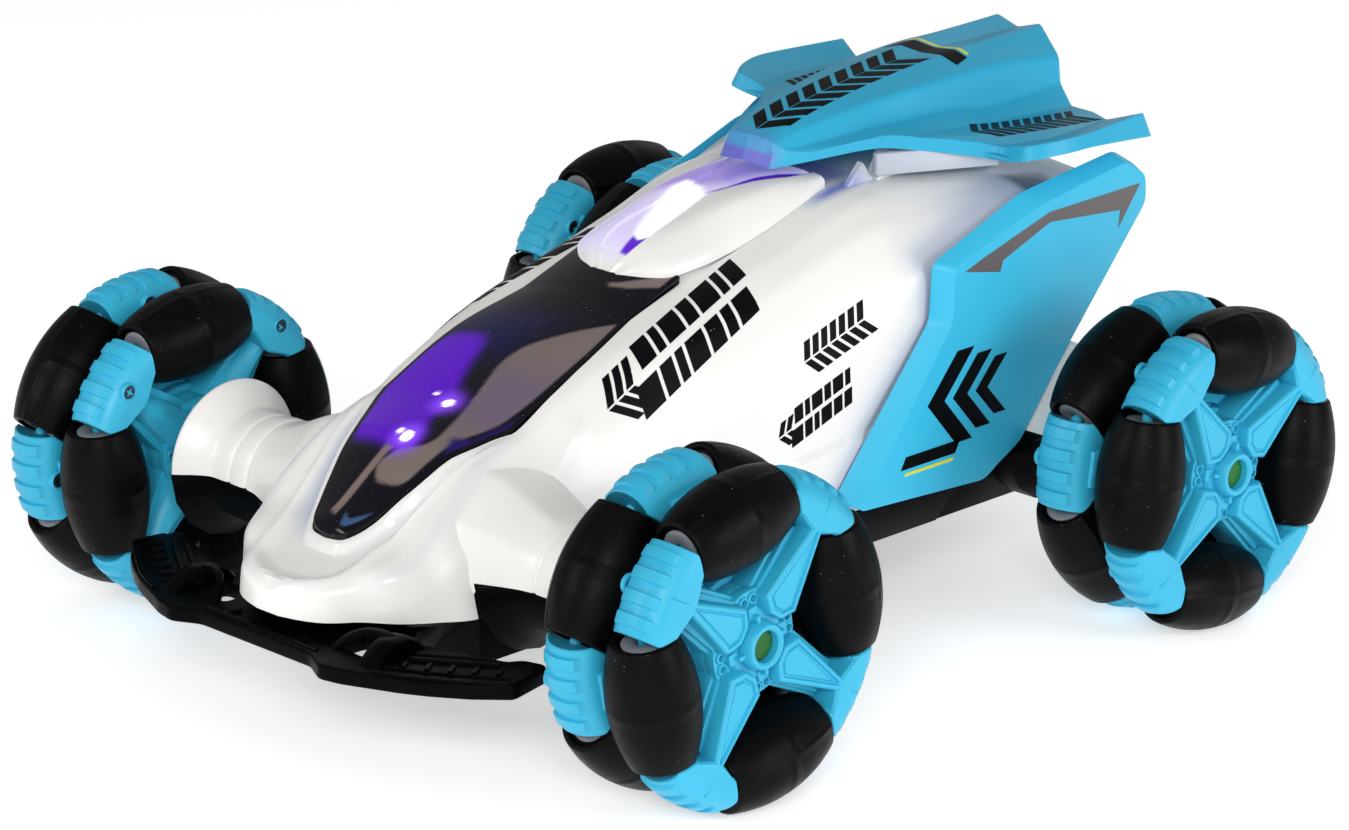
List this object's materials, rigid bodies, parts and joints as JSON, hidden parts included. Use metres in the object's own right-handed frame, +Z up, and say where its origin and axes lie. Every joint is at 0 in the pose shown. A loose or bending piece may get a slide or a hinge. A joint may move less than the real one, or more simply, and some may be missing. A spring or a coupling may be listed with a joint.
{
  "type": "remote control car",
  "caption": "Radio controlled stunt car: low wedge body with a rear wing, gear-motor axles, and double-row roller wheels that let it drive, drift and slide sideways.",
  "frame": {"origin": "on the floor, under the middle of the car's length and width", "axes": "+Z up, -Y towards the nose, +X towards the car's left side, the wheels' hinge axes along X"},
  "size_m": [0.2584, 0.3028, 0.1446],
  "materials": {
    "white_plastic": "glossy white",
    "blue_plastic": "satin sky blue",
    "wheel_plastic": "satin sky blue",
    "black_plastic": "textured black",
    "rubber": "satin black",
    "smoked_plastic": "glossy smoked, nearly opaque",
    "lilac_plastic": "glossy translucent lilac",
    "steel": "bright",
    "motor_casing": "dark grey",
    "circuit_board": "green lacquer",
    "battery_wrap": "orange shrink wrap"
  },
  "bodies": {
    "chassis": {"chassis_tray": "black_plastic", "battery_pack": "battery_wrap", "circuit_board": "circuit_board", "front_splitter": "black_plastic", "body_shell": "white_plastic", "windshield": "smoked_plastic", "light_cover": "lilac_plastic", "side_panel_left": "blue_plastic", "side_panel_right": "blue_plastic", "rear_wing": "blue_plastic", "gear_motor_front_left": "motor_casing", "gear_motor_front_right": "motor_casing", "gear_motor_rear_left": "motor_casing", "gear_motor_rear_right": "motor_casing"},
    "wheel_front_left": {"star_front_left_outer": "wheel_plastic", "star_front_left_inner": "wheel_plastic", "axle_front_left": "steel"},
    "wheel_front_right": {"star_front_right_outer": "wheel_plastic", "star_front_right_inner": "wheel_plastic", "axle_front_right": "steel"},
    "wheel_rear_left": {"star_rear_left_outer": "wheel_plastic", "star_rear_left_inner": "wheel_plastic", "axle_rear_left": "steel"},
    "wheel_rear_right": {"star_rear_right_outer": "wheel_plastic", "star_rear_right_inner": "wheel_plastic", "axle_rear_right": "steel"},
    "power_switch": {"power_switch": "black_plastic"},
    "battery_cover": {"battery_cover": "black_plastic"},
    "roller_front_left_outer_1": {"roller_front_left_outer_1": "rubber"},
    "roller_front_left_outer_2": {"roller_front_left_outer_2": "rubber"},
    "roller_front_left_outer_3": {"roller_front_left_outer_3": "rubber"},
    "roller_front_left_outer_4": {"roller_front_left_outer_4": "rubber"},
    "roller_front_left_inner_1": {"roller_front_left_inner_1": "rubber"},
    "roller_front_left_inner_2": {"roller_front_left_inner_2": "rubber"},
    "roller_front_left_inner_3": {"roller_front_left_inner_3": "rubber"},
    "roller_front_left_inner_4": {"roller_front_left_inner_4": "rubber"},
    "roller_front_right_outer_1": {"roller_front_right_outer_1": "rubber"},
    "roller_front_right_outer_2": {"roller_front_right_outer_2": "rubber"},
    "roller_front_right_outer_3": {"roller_front_right_outer_3": "rubber"},
    "roller_front_right_outer_4": {"roller_front_right_outer_4": "rubber"},
    "roller_front_right_inner_1": {"roller_front_right_inner_1": "rubber"},
    "roller_front_right_inner_2": {"roller_front_right_inner_2": "rubber"},
    "roller_front_right_inner_3": {"roller_front_right_inner_3": "rubber"},
    "roller_front_right_inner_4": {"roller_front_right_inner_4": "rubber"},
    "roller_rear_left_outer_1": {"roller_rear_left_outer_1": "rubber"},
    "roller_rear_left_outer_2": {"roller_rear_left_outer_2": "rubber"},
    "roller_rear_left_outer_3": {"roller_rear_left_outer_3": "rubber"},
    "roller_rear_left_outer_4": {"roller_rear_left_outer_4": "rubber"},
    "roller_rear_left_inner_1": {"roller_rear_left_inner_1": "rubber"},
    "roller_rear_left_inner_2": {"roller_rear_left_inner_2": "rubber"},
    "roller_rear_left_inner_3": {"roller_rear_left_inner_3": "rubber"},
    "roller_rear_left_inner_4": {"roller_rear_left_inner_4": "rubber"},
    "roller_rear_right_outer_1": {"roller_rear_right_outer_1": "rubber"},
    "roller_rear_right_outer_2": {"roller_rear_right_outer_2": "rubber"},
    "roller_rear_right_outer_3": {"roller_rear_right_outer_3": "rubber"},
    "roller_rear_right_outer_4": {"roller_rear_right_outer_4": "rubber"},
    "roller_rear_right_inner_1": {"roller_rear_right_inner_1": "rubber"},
    "roller_rear_right_inner_2": {"roller_rear_right_inner_2": "rubber"},
    "roller_rear_right_inner_3": {"roller_rear_right_inner_3": "rubber"},
    "roller_rear_right_inner_4": {"roller_rear_right_inner_4": "rubber"}
  },
  "joints": [
    {"name": "front_left_wheel_spin", "type": "hinge", "parent": "chassis", "child": "wheel_front_left", "pos_m": [0.1063, -0.08495, 0.046], "axis": [1, 0, 0], "continuous": true},
    {"name": "front_right_wheel_spin", "type": "hinge", "parent": "chassis", "child": "wheel_front_right", "pos_m": [-0.1063, -0.08495, 0.046], "axis": [1, 0, 0], "continuous": true},
    {"name": "rear_left_wheel_spin", "type": "hinge", "parent": "chassis", "child": "wheel_rear_left", "pos_m": [0.1063, 0.10405, 0.046], "axis": [1, 0, 0], "continuous": true},
    {"name": "rear_right_wheel_spin", "type": "hinge", "parent": "chassis", "child": "wheel_rear_right", "pos_m": [-0.1063, 0.10405, 0.046], "axis": [1, 0, 0], "continuous": true},
    {"name": "power_switch_slide", "type": "slide", "parent": "chassis", "child": "power_switch", "axis": [0, 1, 0], "range_m": [0, 0.004]},
    {"name": "battery_cover_slide", "type": "slide", "parent": "chassis", "child": "battery_cover", "axis": [0, 1, 0], "range_m": [0, 0.03]},
    {"name": "front_left_outer_roller_1_spin", "type": "hinge", "parent": "wheel_front_left", "child": "roller_front_left_outer_1", "pos_m": [0.1176, -0.118, 0.03891], "axis": [0, -0.2096, 0.9778], "continuous": true},
    {"name": "front_left_outer_roller_2_spin", "type": "hinge", "parent": "wheel_front_left", "child": "roller_front_left_outer_2", "pos_m": [0.1176, -0.07786, 0.01295], "axis": [0, -0.9778, -0.2096], "continuous": true},
    {"name": "front_left_outer_roller_3_spin", "type": "hinge", "parent": "wheel_front_left", "child": "roller_front_left_outer_3", "pos_m": [0.1176, -0.0519, 0.05309], "axis": [0, 0.2096, -0.9778], "continuous": true},
    {"name": "front_left_outer_roller_4_spin", "type": "hinge", "parent": "wheel_front_left", "child": "roller_front_left_outer_4", "pos_m": [0.1176, -0.09204, 0.07905], "axis": [0, 0.9778, 0.2096], "continuous": true},
    {"name": "front_left_inner_roller_1_spin", "type": "hinge", "parent": "wheel_front_left", "child": "roller_front_left_inner_1", "pos_m": [0.095, -0.10331, 0.01762], "axis": [0, -0.8396, 0.5432], "continuous": true},
    {"name": "front_left_inner_roller_2_spin", "type": "hinge", "parent": "wheel_front_left", "child": "roller_front_left_inner_2", "pos_m": [0.095, -0.05657, 0.02764], "axis": [0, -0.5432, -0.8396], "continuous": true},
    {"name": "front_left_inner_roller_3_spin", "type": "hinge", "parent": "wheel_front_left", "child": "roller_front_left_inner_3", "pos_m": [0.095, -0.06659, 0.07438], "axis": [0, 0.8396, -0.5432], "continuous": true},
    {"name": "front_left_inner_roller_4_spin", "type": "hinge", "parent": "wheel_front_left", "child": "roller_front_left_inner_4", "pos_m": [0.095, -0.11333, 0.06436], "axis": [0, 0.5432, 0.8396], "continuous": true},
    {"name": "front_right_outer_roller_1_spin", "type": "hinge", "parent": "wheel_front_right", "child": "roller_front_right_outer_1", "pos_m": [-0.1176, -0.11158, 0.06681], "axis": [0, 0.6157, 0.788], "continuous": true},
    {"name": "front_right_outer_roller_2_spin", "type": "hinge", "parent": "wheel_front_right", "child": "roller_front_right_outer_2", "pos_m": [-0.1176, -0.10576, 0.01937], "axis": [0, -0.788, 0.6157], "continuous": true},
    {"name": "front_right_outer_roller_3_spin", "type": "hinge", "parent": "wheel_front_right", "child": "roller_front_right_outer_3", "pos_m": [-0.1176, -0.05832, 0.02519], "axis": [0, -0.6157, -0.788], "continuous": true},
    {"name": "front_right_outer_roller_4_spin", "type": "hinge", "parent": "wheel_front_right", "child": "roller_front_right_outer_4", "pos_m": [-0.1176, -0.06414, 0.07263], "axis": [0, 0.788, -0.6157], "continuous": true},
    {"name": "front_right_inner_roller_1_spin", "type": "hinge", "parent": "wheel_front_right", "child": "roller_front_right_inner_1", "pos_m": [-0.095, -0.1185, 0.04188], "axis": [0, -0.1219, 0.9925], "continuous": true},
    {"name": "front_right_inner_roller_2_spin", "type": "hinge", "parent": "wheel_front_right", "child": "roller_front_right_inner_2", "pos_m": [-0.095, -0.08083, 0.01245], "axis": [0, -0.9925, -0.1219], "continuous": true},
    {"name": "front_right_inner_roller_3_spin", "type": "hinge", "parent": "wheel_front_right", "child": "roller_front_right_inner_3", "pos_m": [-0.095, -0.0514, 0.05012], "axis": [0, 0.1219, -0.9925], "continuous": true},
    {"name": "front_right_inner_roller_4_spin", "type": "hinge", "parent": "wheel_front_right", "child": "roller_front_right_inner_4", "pos_m": [-0.095, -0.08907, 0.07955], "axis": [0, 0.9925, 0.1219], "continuous": true},
    {"name": "rear_left_outer_roller_1_spin", "type": "hinge", "parent": "wheel_rear_left", "child": "roller_rear_left_outer_1", "pos_m": [0.1176, 0.07059, 0.05076], "axis": [0, 0.1409, 0.99], "continuous": true},
    {"name": "rear_left_outer_roller_2_spin", "type": "hinge", "parent": "wheel_rear_left", "child": "roller_rear_left_outer_2", "pos_m": [0.1176, 0.09929, 0.01254], "axis": [0, -0.99, 0.1409], "continuous": true},
    {"name": "rear_left_outer_roller_3_spin", "type": "hinge", "parent": "wheel_rear_left", "child": "roller_rear_left_outer_3", "pos_m": [0.1176, 0.13751, 0.04124], "axis": [0, -0.1409, -0.99], "continuous": true},
    {"name": "rear_left_outer_roller_4_spin", "type": "hinge", "parent": "wheel_rear_left", "child": "roller_rear_left_outer_4", "pos_m": [0.1176, 0.10881, 0.07946], "axis": [0, 0.99, -0.1409], "continuous": true},
    {"name": "rear_left_inner_roller_1_spin", "type": "hinge", "parent": "wheel_rear_left", "child": "roller_rear_left_inner_1", "pos_m": [0.095, 0.07702, 0.02571], "axis": [0, -0.6004, 0.7997], "continuous": true},
    {"name": "rear_left_inner_roller_2_spin", "type": "hinge", "parent": "wheel_rear_left", "child": "roller_rear_left_inner_2", "pos_m": [0.095, 0.12434, 0.01897], "axis": [0, -0.7997, -0.6004], "continuous": true},
    {"name": "rear_left_inner_roller_3_spin", "type": "hinge", "parent": "wheel_rear_left", "child": "roller_rear_left_inner_3", "pos_m": [0.095, 0.13108, 0.06629], "axis": [0, 0.6004, -0.7997], "continuous": true},
    {"name": "rear_left_inner_roller_4_spin", "type": "hinge", "parent": "wheel_rear_left", "child": "roller_rear_left_inner_4", "pos_m": [0.095, 0.08376, 0.07303], "axis": [0, 0.7997, 0.6004], "continuous": true},
    {"name": "rear_right_outer_roller_1_spin", "type": "hinge", "parent": "wheel_rear_right", "child": "roller_rear_right_outer_1", "pos_m": [-0.1176, 0.07026, 0.04512], "axis": [0, -0.0262, 0.9997], "continuous": true},
    {"name": "rear_right_outer_roller_2_spin", "type": "hinge", "parent": "wheel_rear_right", "child": "roller_rear_right_outer_2", "pos_m": [-0.1176, 0.10493, 0.01221], "axis": [0, -0.9997, -0.0262], "continuous": true},
    {"name": "rear_right_outer_roller_3_spin", "type": "hinge", "parent": "wheel_rear_right", "child": "roller_rear_right_outer_3", "pos_m": [-0.1176, 0.13784, 0.04688], "axis": [0, 0.0262, -0.9997], "continuous": true},
    {"name": "rear_right_outer_roller_4_spin", "type": "hinge", "parent": "wheel_rear_right", "child": "roller_rear_right_outer_4", "pos_m": [-0.1176, 0.10317, 0.07979], "axis": [0, 0.9997, 0.0262], "continuous": true},
    {"name": "rear_right_inner_roller_1_spin", "type": "hinge", "parent": "wheel_rear_right", "child": "roller_rear_right_inner_1", "pos_m": [-0.095, 0.08078, 0.02148], "axis": [0, -0.7254, 0.6884], "continuous": true},
    {"name": "rear_right_inner_roller_2_spin", "type": "hinge", "parent": "wheel_rear_right", "child": "roller_rear_right_inner_2", "pos_m": [-0.095, 0.12857, 0.02273], "axis": [0, -0.6884, -0.7254], "continuous": true},
    {"name": "rear_right_inner_roller_3_spin", "type": "hinge", "parent": "wheel_rear_right", "child": "roller_rear_right_inner_3", "pos_m": [-0.095, 0.12732, 0.07052], "axis": [0, 0.7254, -0.6884], "continuous": true},
    {"name": "rear_right_inner_roller_4_spin", "type": "hinge", "parent": "wheel_rear_right", "child": "roller_rear_right_inner_4", "pos_m": [-0.095, 0.07953, 0.06927], "axis": [0, 0.6884, 0.7254], "continuous": true}
  ]
}
